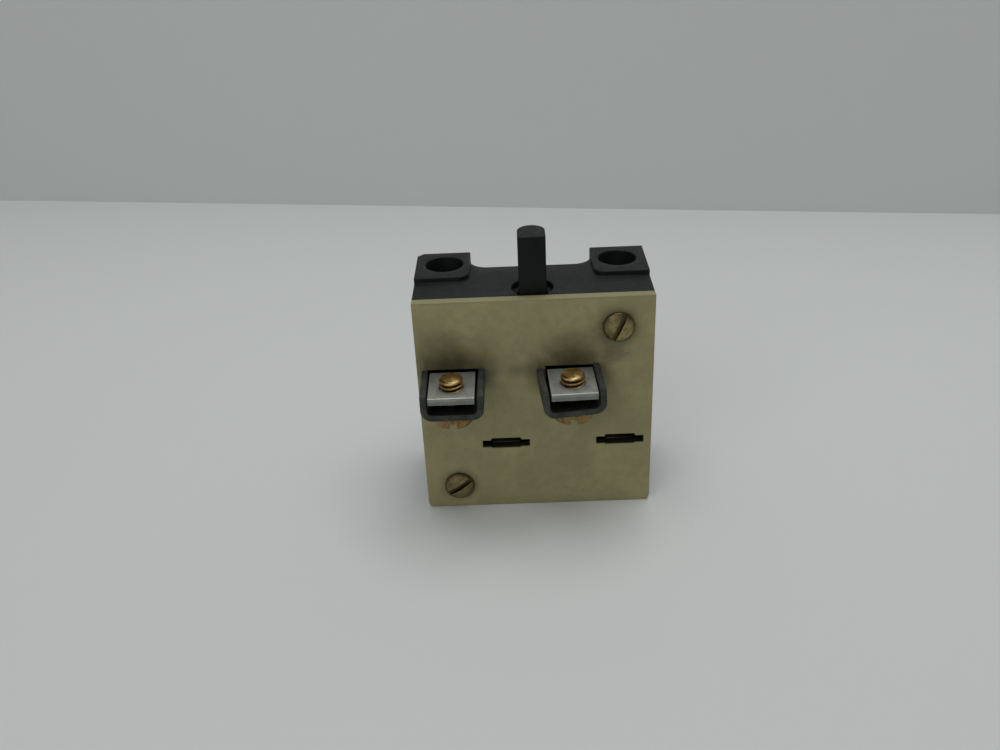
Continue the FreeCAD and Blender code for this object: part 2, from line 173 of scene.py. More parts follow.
def eased(node, name, width, segments=3, angle=30):
    """A merged copy of a design part with its sharp edges rounded."""
    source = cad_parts[node]
    piece = source.copy()
    piece.data = source.data.copy()
    piece.name = name
    bpy.context.collection.objects.link(piece)
    pick(piece)
    bpy.ops.object.mode_set(mode="EDIT")
    bpy.ops.mesh.select_all(action="SELECT")
    bpy.ops.mesh.remove_doubles(threshold=1e-6)
    bpy.ops.mesh.dissolve_limited(angle_limit=math.radians(0.5))
    bpy.ops.object.mode_set(mode="OBJECT")
    round_edges(piece, width, segments, angle, loop_slide=False)
    return piece


def dress(piece, material, slot, body, *nodes):
    """Give a finished piece its material and its body, and hide the design parts it stands for."""
    piece.data.materials.clear()
    piece.data.materials.append(material)
    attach(piece, body)
    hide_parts(*nodes)


def group_with(name, inputs, outputs):
    """An empty shader node group with typed inputs, their defaults, and outputs."""
    tree = bpy.data.node_groups.new(name, "ShaderNodeTree")
    for label, kind, value in inputs:
        socket = tree.interface.new_socket(label, in_out="INPUT", socket_type="NodeSocket" + kind)
        socket.default_value = value
    for label, kind in outputs:
        tree.interface.new_socket(label, in_out="OUTPUT", socket_type="NodeSocket" + kind)
    return tree, tree.nodes.new("NodeGroupInput"), tree.nodes.new("NodeGroupOutput")


def add(tree, kind, **settings):
    """A node of a kind, with properties by name and sockets by 'in_0', 'in_Scale' and so on."""
    node = tree.nodes.new("ShaderNode" + kind)
    for key, value in settings.items():
        if key.startswith("in_"):
            label = key[3:].replace("_", " ")
            socket = node.inputs[int(label)] if label.isdigit() else node.inputs[label]
            if hasattr(value, "links"):
                tree.links.new(value, socket)
            else:
                socket.default_value = value
        else:
            setattr(node, key, value)
    return node


def maths(tree, operation, first, second=0.5, clamp=False):
    """The result of one sum or comparison."""
    return add(tree, "Math", operation=operation, use_clamp=clamp, in_0=first, in_1=second).outputs[0]


def blended(tree, factor, first, second):
    """Two colours mixed by a factor."""
    node = add(tree, "Mix", data_type="RGBA")
    sockets = (node.inputs["Factor"], node.inputs[6], node.inputs[7])
    for socket, value in zip(sockets, (factor, first, second)):
        if hasattr(value, "links"):
            tree.links.new(value, socket)
        else:
            socket.default_value = value
    return node.outputs[2]


def remapped(tree, value, low, high, new_low=0.0, new_high=1.0):
    """A value carried smoothly from one range to another."""
    node = add(tree, "MapRange", interpolation_type="SMOOTHSTEP", in_0=value)
    for index, number in enumerate((low, high, new_low, new_high)):
        node.inputs[index + 1].default_value = number
    return node.outputs[0]


def noise(tree, vector, scale, detail=3.0, roughness=0.55):
    """Smooth random tone between 0 and 1, at a scale in cycles per metre."""
    node = add(tree, "TexNoise", in_Vector=vector, in_Scale=scale, in_Detail=detail)
    node.inputs["Roughness"].default_value = roughness
    return node.outputs["Fac"]


def mottle_group():
    """Two sizes of uneven tone over a surface, and a fine grain for its relief."""
    inputs = [
        ("Patch Scale", "Float", 200.0),
        ("Fleck Scale", "Float", 1200.0),
        ("Grain Scale", "Float", 6000.0),
    ]
    outputs = [("Patch", "Float"), ("Fleck", "Float"), ("Grain", "Float")]
    tree, given, out = group_with("mottle", inputs, outputs)
    place = add(tree, "TexCoord").outputs["Object"]
    for label in ("Patch", "Fleck", "Grain"):
        value = noise(tree, place, given.outputs[label + " Scale"], 4.0 if label == "Patch" else 2.0)
        tree.links.new(remapped(tree, value, 0.3, 0.7), out.inputs[label])
    return tree


def scuff_group():
    """Thin pale scratches in many directions, as a mask."""
    inputs = [("Scale", "Float", 90.0), ("Amount", "Float", 0.5)]
    tree, given, out = group_with("scuffs", inputs, [("Mask", "Float")])
    place = add(tree, "TexCoord").outputs["Object"]
    warp = add(tree, "TexNoise", in_Vector=place, in_Scale=60.0)
    bent = add(tree, "VectorMath", operation="MULTIPLY_ADD", in_0=warp.outputs["Color"], in_2=place)
    bent.inputs[1].default_value = (4 * MM, 4 * MM, 4 * MM)
    masks = []
    for turn, stretch in (((0.3, 0.5, 0.9), (1.0, 14.0, 1.0)), ((1.1, 0.2, 2.0), (12.0, 1.0, 1.0))):
        turned = add(tree, "Mapping", in_Vector=bent.outputs[0], in_Rotation=turn, in_Scale=stretch)
        streak = noise(tree, turned.outputs[0], given.outputs["Scale"], 5.0, 0.7)
        masks.append(remapped(tree, streak, 0.62, 0.72))
    both = maths(tree, "MAXIMUM", masks[0], masks[1])
    patchy = remapped(tree, noise(tree, place, 120.0), 0.45, 0.65)
    faint = maths(tree, "MULTIPLY", maths(tree, "MULTIPLY", both, patchy), given.outputs["Amount"], True)
    tree.links.new(faint, out.inputs["Mask"])
    return tree


MOTTLE = mottle_group()
SCUFFS = scuff_group()


def use_group(tree, group, **values):
    """A group placed in a material, with its inputs by name."""
    node = tree.nodes.new("ShaderNodeGroup")
    node.node_tree = group
    for label, value in values.items():
        node.inputs[label.replace("_", " ")].default_value = value
    return node


def drifting_roughness(tree, shader, mask, low, high):
    """Roughness that runs from one value to another as a mask goes from 0 to 1."""
    tree.links.new(remapped(tree, mask, 0.0, 1.0, low, high), shader.inputs["Roughness"])


def relief(tree, shader, height, depth):
    """Surface relief of a given depth."""
    bump = add(tree, "Bump", in_Height=height, in_Distance=depth, in_Strength=1.0)
    tree.links.new(bump.outputs["Normal"], shader.inputs["Normal"])


def facing_up(tree):
    """1 on surfaces that face upwards: where dust settles, and where painted shade lies on the channel
    floor.
    """
    normal = add(tree, "NewGeometry").outputs["Normal"]
    height = add(tree, "SeparateXYZ", in_0=normal).outputs["Z"]
    return remapped(tree, height, 0.55, 0.95)


def shaded(colour, factor):
    """A colour made lighter or darker by a factor."""
    return tuple(min(1.0, factor * part) for part in colour[:3]) + (1,)


def black_phenolic(name, base, dust):
    """Moulded phenolic: near black, slightly uneven, with scuffs and settled dust."""
    material, tree, shader = new_material(name)
    uneven = use_group(tree, MOTTLE, Patch_Scale=160.0, Fleck_Scale=900.0, Grain_Scale=5200.0)
    scuffs = use_group(tree, SCUFFS, Scale=70.0, Amount=0.55)
    colour = blended(tree, uneven.outputs["Patch"], shaded(base, 0.72), shaded(base, 1.35))
    colour = blended(tree, scuffs.outputs["Mask"], colour, shaded(base, 4.0))
    speck = remapped(tree, uneven.outputs["Fleck"], 0.55, 0.95, 0.3, 1.0)
    settled = maths(tree, "MULTIPLY", facing_up(tree), maths(tree, "MULTIPLY", speck, dust))
    colour = blended(tree, settled, colour, (0.085, 0.095, 0.093, 1))
    tree.links.new(colour, shader.inputs["Base Color"])
    drifting_roughness(tree, shader, uneven.outputs["Patch"], 0.42, 0.56)
    pitted = maths(tree, "MULTIPLY", uneven.outputs["Fleck"], 1.5)
    relief(tree, shader, maths(tree, "ADD", uneven.outputs["Grain"], pitted), 0.012 * MM)
    shader.inputs["Specular IOR Level"].default_value = 0.22
    return material


MOULDING = black_phenolic("moulded_black", (0.0080, 0.0098, 0.0092), 0.09)
housing = eased("housing", "housing_moulding", 0.22 * MM)
dress(housing, MOULDING, "black_phenolic", "housing", "housing")


# Cover plate. Tan vulcanised fibre, sawn to size and punched for the terminals
# and the blade slots. Arcing and years of handling have left brown-black soot
# above the terminals. The plate is also darker beside and below the channels,
# with a painted shadow round each screw head and painted shade on the walls
# inside the openings.
def smudge_group():
    """A soft uneven blot round a centre, as wide as its radii, as a mask."""
    inputs = [
        ("Centre", "Vector", (0.0, 0.0, 0.0)),
        ("Radii", "Vector", (0.003, 1.0, 0.003)),
        ("Ragged", "Float", 0.6),
        ("Strength", "Float", 1.0),
    ]
    tree, given, out = group_with("smudge", inputs, [("Mask", "Float")])
    place = add(tree, "TexCoord").outputs["Object"]
    centre, radii = given.outputs["Centre"], given.outputs["Radii"]
    offset = add(tree, "VectorMath", operation="SUBTRACT", in_0=place, in_1=centre)
    scaled = add(tree, "VectorMath", operation="DIVIDE", in_0=offset.outputs[0], in_1=radii)
    distance = add(tree, "VectorMath", operation="LENGTH", in_0=scaled.outputs[0]).outputs["Value"]
    uneven = maths(tree, "SUBTRACT", noise(tree, place, 330.0, 4.0, 0.65), 0.5)
    frayed = maths(tree, "ADD", distance, maths(tree, "MULTIPLY", uneven, given.outputs["Ragged"]))
    mask = maths(tree, "MULTIPLY", remapped(tree, frayed, 0.05, 1.25, 1.0, 0.0), given.outputs["Strength"])
    tree.links.new(mask, out.inputs["Mask"])
    return tree


SOFT_BLOT = smudge_group()
TERMINAL_X = {}
for side in ("left", "right"):
    low, high = corners(side + "_terminal_screw")
    TERMINAL_X[side] = (low.x + high.x) / 2
COVER_SCREWS = {}
for place in ("upper", "lower"):
    low, high = corners("cover_screw_" + place)
    COVER_SCREWS[place] = (low + high) / 2


def hole_walls(tree, place):
    """1 on the punched walls inside the plate's openings, where painted shade darkens them."""
    x, y, z = add(tree, "SeparateXYZ", in_0=place).outputs
    behind = remapped(tree, y, FACE_Y + 0.05 * MM, FACE_Y + 0.40 * MM)
    clear_of_sides = maths(tree, "LESS_THAN", maths(tree, "ABSOLUTE", x), cover_high.x - 0.6 * MM)
    above = maths(tree, "GREATER_THAN", z, cover_low.z + 1.0 * MM)
    below = maths(tree, "LESS_THAN", z, cover_high.z - 1.0 * MM)
    inside = maths(tree, "MULTIPLY", maths(tree, "MULTIPLY", clear_of_sides, above), below)
    return maths(tree, "MULTIPLY", behind, inside)


def tan_fibre():
    """Tan fibre with blotches, faint pressed grain, soot, dark patches, painted shadow round the screws,
    painted shade in the openings and rough sawn edges.
    """
    material, tree, shader = new_material("tan_fibre")
    uneven = use_group(tree, MOTTLE, Patch_Scale=150.0, Fleck_Scale=700.0, Grain_Scale=3800.0)
    scuffs = use_group(tree, SCUFFS, Scale=110.0, Amount=0.30)
    colour = blended(tree, uneven.outputs["Patch"], (0.304, 0.274, 0.134, 1), (0.372, 0.340, 0.174, 1))
    flecks = remapped(tree, uneven.outputs["Fleck"], 0.35, 1.0, 0.0, 0.35)
    colour = blended(tree, flecks, colour, (0.275, 0.252, 0.130, 1))
    colour = blended(tree, scuffs.outputs["Mask"], colour, (0.43, 0.40, 0.24, 1))
    place = add(tree, "TexCoord").outputs["Object"]
    height = add(tree, "SeparateXYZ", in_0=place).outputs["Z"]
    rough_line = maths(tree, "MULTIPLY", maths(tree, "SUBTRACT", noise(tree, place, 1500.0), 0.5), 0.5 * MM)
    edge_height = maths(tree, "ADD", height, rough_line)
    sawn = remapped(tree, edge_height, cover_high.z - 0.35 * MM, cover_high.z - 0.05 * MM)
    colour = blended(tree, maths(tree, "MULTIPLY", sawn, 0.8), colour, (0.27, 0.25, 0.135, 1))
    left, right = TERMINAL_X["left"], TERMINAL_X["right"]
    upper, lower = COVER_SCREWS["upper"], COVER_SCREWS["lower"]
    # Each blot's middle, half width, half height, raggedness and strength: soot over and between the
    # terminals, darker patches beside and below the channels, and a painted shadow round each cover screw
    # head.
    blots = [
        (left - 0.4 * MM, 29.6 * MM, 7.4 * MM, 4.2 * MM, 0.80, 0.84),
        (left - 1.2 * MM, 33.2 * MM, 6.4 * MM, 4.6 * MM, 1.10, 0.46),
        (left + 5.6 * MM, 28.6 * MM, 2.8 * MM, 4.4 * MM, 0.80, 0.50),
        (left + 11.4 * MM, 28.8 * MM, 3.6 * MM, 1.9 * MM, 1.20, 0.36),
        (right + 0.2 * MM, 29.8 * MM, 7.2 * MM, 3.8 * MM, 0.80, 0.82),
        (right + 0.8 * MM, 33.0 * MM, 6.4 * MM, 4.0 * MM, 1.10, 0.44),
        (right - 5.7 * MM, 28.0 * MM, 2.4 * MM, 4.0 * MM, 0.80, 0.50),
        (right + 7.2 * MM, 31.2 * MM, 3.0 * MM, 2.4 * MM, 1.20, 0.36),
        (right + 5.7 * MM, 27.0 * MM, 2.0 * MM, 4.4 * MM, 0.80, 0.42),
        # Painted shadow round each cover screw head.
        (upper.x, upper.z, 3.8 * MM, 3.8 * MM, 0.50, 0.92),
        (upper.x - 0.4 * MM, upper.z - 0.6 * MM, 5.4 * MM, 5.2 * MM, 0.90, 0.30),
        (lower.x, lower.z, 3.7 * MM, 3.7 * MM, 0.50, 0.82),
        (left, 23.2 * MM, 6.0 * MM, 2.8 * MM, 0.80, 0.34),
        (right, 23.2 * MM, 6.0 * MM, 2.8 * MM, 0.80, 0.34),
    ]
    unmarked = 1.0
    for x, z, wide, high, ragged, strength in blots:
        blot = use_group(tree, SOFT_BLOT, Ragged=ragged, Strength=strength)
        blot.inputs["Centre"].default_value = (x, FACE_Y, z)
        blot.inputs["Radii"].default_value = (wide, 1.0, high)
        unmarked = maths(tree, "MULTIPLY", maths(tree, "SUBTRACT", 1.0, blot.outputs["Mask"]), unmarked)
    colour = blended(tree, unmarked, (0.066, 0.057, 0.027, 1), colour)
    # Painted shade on the walls inside the openings.
    hole_shade = maths(tree, "MULTIPLY", hole_walls(tree, place), 0.93)
    colour = blended(tree, hole_shade, colour, (0.008, 0.009, 0.007, 1))
    tree.links.new(colour, shader.inputs["Base Color"])
    drifting_roughness(tree, shader, uneven.outputs["Patch"], 0.55, 0.68)
    shader.inputs["Specular IOR Level"].default_value = 0.35
    pitted = maths(tree, "MULTIPLY", uneven.outputs["Fleck"], 2.0)
    grain = maths(tree, "ADD", uneven.outputs["Grain"], pitted)
    sawing = maths(tree, "MULTIPLY", noise(tree, place, 2400.0, 2.0), maths(tree, "MULTIPLY", sawn, 6.0))
    relief(tree, shader, maths(tree, "ADD", grain, sawing), 0.014 * MM)
    return material


cover = eased("cover_plate", "cover_sheet", 0.20 * MM)
dress(cover, tan_fibre(), "tan_fibre", "housing", "cover_plate")


# Cover screws. Turned brass with a low domed head and a sawn slot, run down onto
# the fibre and into the inserts, each left at its own angle.
def turned(name, profile, steps=72):
    """A closed solid of revolution about Z from (radius, height) points, in metres."""
    mesh = bpy.data.meshes.new(name)
    points = [(radius, 0, height) for radius, height in profile]
    mesh.from_pydata(points, [(index, index + 1) for index in range(len(points) - 1)], [])
    piece = linked(name, mesh)
    pick(piece)
    bpy.ops.object.mode_set(mode="EDIT")
    bpy.ops.mesh.select_all(action="SELECT")
    bpy.ops.mesh.spin(steps=steps, angle=2 * math.pi, center=(0, 0, 0), axis=(0, 0, 1))
    bpy.ops.mesh.select_all(action="SELECT")
    bpy.ops.mesh.remove_doubles(threshold=1e-7)
    bpy.ops.mesh.normals_make_consistent(inside=False)
    bpy.ops.object.mode_set(mode="OBJECT")
    return piece


def rounded_corner(radius, height, corner, start, end, count=5):
    """Points along a quarter round about a centre, angles in degrees."""
    points = []
    for step in range(count + 1):
        angle = math.radians(start + (end - start) * step / count)
        points.append((radius + corner * math.cos(angle), height + corner * math.sin(angle)))
    return points


def cut_with(piece, tool):
    """Take a tool's shape out of a piece and throw the tool away."""
    cut = piece.modifiers.new("cut", "BOOLEAN")
    cut.operation = "DIFFERENCE"
    cut.solver = "EXACT"
    cut.object = tool
    pick(piece)
    bpy.ops.object.modifier_apply(modifier=cut.name)
    bpy.data.objects.remove(tool)


def cutter(size, middle):
    """A block for cutting a slot."""
    bpy.ops.object.select_all(action="DESELECT")
    bpy.ops.mesh.primitive_cube_add(size=1, location=middle, scale=size)
    bpy.ops.object.transform_apply(location=True, rotation=True, scale=True)
    return bpy.context.object


def worn_metal(name, bright, dull, rough_low, rough_high, grime=0.5):
    """Metal with duller patches, fine scratches and flecks of grime."""
    material, tree, shader = new_material(name)
    uneven = use_group(tree, MOTTLE, Patch_Scale=420.0, Fleck_Scale=2200.0, Grain_Scale=9000.0)
    scuffs = use_group(tree, SCUFFS, Scale=260.0, Amount=0.7)
    colour = blended(tree, uneven.outputs["Patch"], dull, bright)
    colour = blended(tree, scuffs.outputs["Mask"], colour, shaded(bright, 1.25))
    dirt = remapped(tree, uneven.outputs["Fleck"], 0.6, 1.0, 0.0, grime)
    colour = blended(tree, dirt, colour, shaded(dull, 0.35))
    tree.links.new(colour, shader.inputs["Base Color"])
    drifting_roughness(tree, shader, uneven.outputs["Patch"], rough_high, rough_low)
    shader.inputs["Metallic"].default_value = 1.0
    relief(tree, shader, uneven.outputs["Grain"], 0.005 * MM)
    return material


def slot_dirt_group():
    """Painted shade in a straight slot across a dome, as a mask; Surface is the dome's radius."""
    inputs = [
        ("Centre", "Vector", (0.0, 0.0, 0.0)),
        ("Across", "Vector", (1.0, 0.0, 0.0)),
        ("Half Width", "Float", 0.0005),
        ("Surface", "Float", 0.0),
    ]
    tree, given, out = group_with("slot_dirt", inputs, [("Mask", "Float")])
    place = add(tree, "TexCoord").outputs["Object"]
    centre, across = given.outputs["Centre"], given.outputs["Across"]
    offset = add(tree, "VectorMath", operation="SUBTRACT", in_0=place, in_1=centre)
    aside = add(tree, "VectorMath", operation="DOT_PRODUCT", in_0=offset.outputs[0], in_1=across)
    distance = maths(tree, "ABSOLUTE", aside.outputs["Value"])
    narrow = maths(tree, "LESS_THAN", distance, given.outputs["Half Width"])
    radius = add(tree, "VectorMath", operation="LENGTH", in_0=offset.outputs[0]).outputs["Value"]
    sunk = maths(tree, "LESS_THAN", radius, given.outputs["Surface"])
    tree.links.new(maths(tree, "MULTIPLY", narrow, sunk), out.inputs["Mask"])
    return tree


def off_axis(tree, place, point, square_to):
    """Distance from an axis through a point, with 1 for each direction square to the axis."""
    offset = add(tree, "VectorMath", operation="SUBTRACT", in_0=place)
    offset.inputs[1].default_value = point
    flat = add(tree, "VectorMath", operation="MULTIPLY", in_0=offset.outputs[0])
    flat.inputs[1].default_value = square_to
    return add(tree, "VectorMath", operation="LENGTH", in_0=flat.outputs[0]).outputs["Value"]


SLOT_SHADE = slot_dirt_group()
BRASS = worn_metal("dulled_brass", (0.33, 0.265, 0.125, 1), (0.20, 0.165, 0.080, 1), 0.30, 0.48)
COVER_HEAD_R = 2.7 * MM
COVER_HEAD_RIM = 0.6 * MM
COVER_HEAD_PROUD = 1.25 * MM
COVER_SLOT_WIDTH = 0.85 * MM
COVER_SLOT_DEPTH = 0.85 * MM
COVER_SLOT_ANGLE = {"upper": math.radians(66), "lower": math.radians(34)}
COVER_HEAD_EDGE = 0.12 * MM
COVER_RIM_DROP = 0.08 * MM
COVER_CUTTER_LENGTH = 8 * MM
COVER_SHANK_R = 1.5 * MM
COVER_POINT_R = 0.7 * COVER_SHANK_R
COVER_POINT_LENGTH = 0.4 * MM
DOME_INSET = 0.06 * MM
DOME_STEPS = 12
DOME_RISE = COVER_HEAD_PROUD - COVER_HEAD_RIM
DOME_BALL_R = (COVER_HEAD_R ** 2 + DOME_RISE ** 2) / (2 * DOME_RISE)


def slotted_brass(name, middle, angle):
    """The brass of one cover screw, with painted shade in its slot and round its rim."""
    material = BRASS.copy()
    material.name = name
    tree = material.node_tree
    shader = tree.nodes["Principled BSDF"]
    slot_shade_half = COVER_SLOT_WIDTH / 2 + 0.02 * MM
    dirt = use_group(tree, SLOT_SHADE, Half_Width=slot_shade_half, Surface=DOME_BALL_R - 0.10 * MM)
    ball_centre = FACE_Y - COVER_HEAD_PROUD + DOME_BALL_R
    dirt.inputs["Centre"].default_value = (middle.x, ball_centre, middle.z)
    dirt.inputs["Across"].default_value = (-math.sin(angle), 0, math.cos(angle))
    unmarked = shader.inputs["Base Color"].links[0].from_socket
    place = add(tree, "TexCoord").outputs["Object"]
    radius = off_axis(tree, place, middle, (1, 0, 1))
    # Painted shade round the rim of the domed head.
    rim = remapped(tree, radius, COVER_HEAD_R - 0.55 * MM, COVER_HEAD_R - 0.10 * MM, 0.0, 0.70)
    unmarked = blended(tree, rim, unmarked, (0.075, 0.060, 0.028, 1))
    # Painted shade in the slot.
    colour = blended(tree, dirt.outputs["Mask"], unmarked, (0.095, 0.074, 0.032, 1))
    tree.links.new(colour, shader.inputs["Base Color"])
    return material


for place, middle in COVER_SCREWS.items():
    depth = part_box("cover_screw_" + place)[1][1] - FACE_Y
    profile = [(0, -depth), (COVER_POINT_R, -depth)]
    profile += [(COVER_SHANK_R, COVER_POINT_LENGTH - depth), (COVER_SHANK_R, 0)]
    profile += [(COVER_HEAD_R - COVER_HEAD_EDGE, 0), (COVER_HEAD_R, COVER_HEAD_EDGE)]
    profile.append((COVER_HEAD_R, COVER_HEAD_RIM - COVER_RIM_DROP))
    for step in range(DOME_STEPS, -1, -1):
        radius = (COVER_HEAD_R - DOME_INSET) * step / DOME_STEPS
        fall = DOME_BALL_R - math.sqrt(DOME_BALL_R ** 2 - radius ** 2)
        profile.append((radius, COVER_HEAD_PROUD - fall))
    screw = turned("cover_screw_" + place + "_turned", profile)
    slot_size = (COVER_CUTTER_LENGTH, COVER_SLOT_WIDTH, 2 * COVER_SLOT_DEPTH)
    cut_with(screw, cutter(slot_size, (0, 0, COVER_HEAD_PROUD)))
    lie_down = Matrix.Rotation(math.pi / 2, 4, "X")
    spin_slot = Matrix.Rotation(-COVER_SLOT_ANGLE[place], 4, "Y")
    screw.data.transform(Matrix.Translation((middle.x, FACE_Y, middle.z)) @ spin_slot @ lie_down)
    round_edges(screw, 0.05 * MM)
    brass = slotted_brass("slotted_brass_" + place, middle, COVER_SLOT_ANGLE[place])
    dress(screw, brass, "brass", "housing", "cover_screw_" + place)


# Cover inserts. Short brass tubes, tapped for the cover screws and moulded into
# the housing behind the plate.
for place in ("upper", "lower"):
    insert = eased("cover_insert_" + place, "cover_insert_" + place + "_tube", 0.08 * MM, segments=2)
    dress(insert, BRASS, "brass", "housing", "cover_insert_" + place)


# Plunger. Moulded D-section rod with its flat towards the cover; its round stem
# goes down into the carrier. Sliding has polished it a little.
SLIDING = black_phenolic("polished_black", (0.0045, 0.0066, 0.0052), 0.18)
rod = eased("plunger", "plunger_rod", 0.18 * MM, angle=35)
dress(rod, SLIDING, "black_phenolic", "plunger", "plunger")


# Contact carrier and its pin. Black moulded crossbar on the plunger's stem, with
# a window at each end for a contact bridge, held by a steel cross pin.
carrier = eased("contact_carrier", "carrier_moulding", 0.12 * MM, segments=2)
dress(carrier, SLIDING, "black_phenolic", "plunger", "contact_carrier")
STEEL = worn_metal("drawn_steel", (0.56, 0.56, 0.55, 1), (0.40, 0.40, 0.40, 1), 0.22, 0.40)
pin = eased("carrier_pin", "carrier_pin_steel", 0.1 * MM, segments=2)
dress(pin, STEEL, "spring_steel", "plunger", "carrier_pin")


# Terminals. Heavy brass sheet bent up into a channel that holds the wire, then
# carried through the cover as a tongue; dark with oxide from heat and age.
SHEET = 1.1 * MM
CHANNEL_BEND = 2.0 * MM
CHANNEL_REACH = 9.4 * MM
CHANNEL_HALF_BACK = 5.5 * MM
CHANNEL_HALF_FRONT = 5.35 * MM
CHANNEL_BOTTOM = 24.6 * MM
CHANNEL_TOP = 29.4 * MM
CHANNEL_SHIFT = {"left": 0.1 * MM, "right": 0.0}
CHANNEL_YAW = {"left": 0.0, "right": math.radians(3.5)}
CHANNEL_ROLL = {"left": 0.0, "right": math.radians(-3.0)}
SCREW_REACH = 5.3 * MM
CLEARANCE_R = 2.3 * MM
DRILL_DEPTH = 4 * MM


def channel_outline(half):
    """The bent sheet seen end on, as (across, height) points round its outline."""
    bottom = CHANNEL_BOTTOM + CHANNEL_BEND
    edge = half - CHANNEL_BEND
    points = [(-half, CHANNEL_TOP)]
    points += rounded_corner(-edge, bottom, CHANNEL_BEND, 180, 270, 8)
    points += rounded_corner(edge, bottom, CHANNEL_BEND, 270, 360, 8)
    points += [(half, CHANNEL_TOP), (half - SHEET, CHANNEL_TOP)]
    points += rounded_corner(edge, bottom, CHANNEL_BEND - SHEET, 360, 270, 6)
    points += rounded_corner(-edge, bottom, CHANNEL_BEND - SHEET, 270, 180, 6)
    points.append((SHEET - half, CHANNEL_TOP))
    return points


def lofted(name, rings):
    """A closed solid through two matching rings of points, with flat ends."""
    count = len(rings[0])
    faces = [tuple(range(count)), tuple(range(2 * count - 1, count - 1, -1))]
    for index in range(count):
        after = (index + 1) % count
        faces.append((after, index, count + index, count + after))
    mesh = bpy.data.meshes.new(name)
    mesh.from_pydata(rings[0] + rings[1], [], faces)
    piece = linked(name, mesh)
    pick(piece)
    bpy.ops.object.mode_set(mode="EDIT")
    bpy.ops.mesh.select_all(action="SELECT")
    bpy.ops.mesh.normals_make_consistent(inside=False)
    bpy.ops.object.mode_set(mode="OBJECT")
    return piece


def bent_strip(name, outline, x, half):
    """Sheet bent in the depth and height plane, of a given half width about x."""
    rings = [[(x + side * half, y, z) for y, z in outline] for side in (-1, 1)]
    return lofted(name, rings)


def dark_oxide():
    """Blackened brass: matt charcoal, mottled and scuffed, with painted shade on the floor down in the
    channel.
    """
    material, tree, shader = new_material("dark_oxide")
    uneven = use_group(tree, MOTTLE, Patch_Scale=350.0, Fleck_Scale=1600.0, Grain_Scale=6500.0)
    scuffs = use_group(tree, SCUFFS, Scale=200.0, Amount=0.6)
    colour = blended(tree, uneven.outputs["Patch"], (0.026, 0.029, 0.023, 1), (0.056, 0.060, 0.049, 1))
    colour = blended(tree, scuffs.outputs["Mask"], colour, (0.13, 0.125, 0.10, 1))
    place = add(tree, "TexCoord").outputs["Object"]
    height = add(tree, "SeparateXYZ", in_0=place).outputs["Z"]
    # Painted shade on the channel floor under the clamp plate.
    low_down = remapped(tree, height, CHANNEL_BOTTOM + 1.3 * MM, CHANNEL_BOTTOM + 3.0 * MM, 1.0, 0.0)
    trough = maths(tree, "MULTIPLY", low_down, facing_up(tree))
    colour = blended(tree, maths(tree, "MULTIPLY", trough, 0.75), colour, (0.006, 0.007, 0.005, 1))
    tree.links.new(colour, shader.inputs["Base Color"])
    drifting_roughness(tree, shader, uneven.outputs["Patch"], 0.66, 0.50)
    shader.inputs["Metallic"].default_value = 0.30
    height = maths(tree, "ADD", uneven.outputs["Fleck"], uneven.outputs["Grain"])
    relief(tree, shader, height, 0.02 * MM)
    return material


OXIDE = dark_oxide()

# The tongue is a shaving inside the channel's floor, so that no two faces lie in one plane.
TONGUE_HALF = 4.1 * MM
TONGUE_LAP = 0.55 * MM
TONGUE_REACH = 1.9 * MM
FOOT_HALF = 2.0 * MM
WEB_REACH = 1.95 * MM
SHAVING = 0.01 * MM

for side, x in TERMINAL_X.items():
    middle = x + CHANNEL_SHIFT[side]
    rings = []
    for half, reach in ((CHANNEL_HALF_BACK, 0), (CHANNEL_HALF_FRONT, CHANNEL_REACH)):
        rings.append([(middle + across, FACE_Y - reach, z) for across, z in channel_outline(half)])
    channel = lofted(side + "_terminal_channel", rings)
    bpy.ops.mesh.primitive_cylinder_add(vertices=64, radius=CLEARANCE_R, depth=DRILL_DEPTH)
    drill = bpy.context.object
    drill.location = (x, FACE_Y - SCREW_REACH, CHANNEL_BOTTOM)
    cut_with(channel, drill)
    pivot = Matrix.Translation((x, FACE_Y - SCREW_REACH, CHANNEL_BOTTOM + SHEET))
    lean = Matrix.Rotation(CHANNEL_YAW[side], 4, "Z") @ Matrix.Rotation(CHANNEL_ROLL[side], 4, "Y")
    channel.data.transform(pivot @ lean @ pivot.inverted())
    for vertex in channel.data.vertices:
        vertex.co.y = min(vertex.co.y, FACE_Y)
    round_edges(channel, 0.16 * MM, 3)
    low, high = corners(side + "_terminal")
    start, end, web = FACE_Y - TONGUE_LAP, FACE_Y + TONGUE_REACH, FACE_Y + WEB_REACH
    foot_top = low.z + SHEET
    floor, floor_top = CHANNEL_BOTTOM + SHAVING, CHANNEL_BOTTOM + SHEET - SHAVING
    tongue = [(start, floor), (start, floor_top), (end, floor_top), (end, floor)]
    strip = [(start, floor_top), (start, floor), (web, floor), (web, low.z)]
    strip += [(high.y, low.z), (high.y, foot_top), (web + SHEET, foot_top), (web + SHEET, floor_top)]
    parts = [
        bent_strip(side + "_tongue", tongue, x, TONGUE_HALF),
        bent_strip(side + "_strip", strip, x, FOOT_HALF),
    ]
    for part in parts:
        round_edges(part, 0.10 * MM)
    bpy.ops.object.select_all(action="DESELECT")
    for part in parts + [channel]:
        part.select_set(True)
    bpy.context.view_layer.objects.active = channel
    bpy.ops.object.join()
    dress(channel, OXIDE, "blackened_brass", "housing", side + "_terminal")


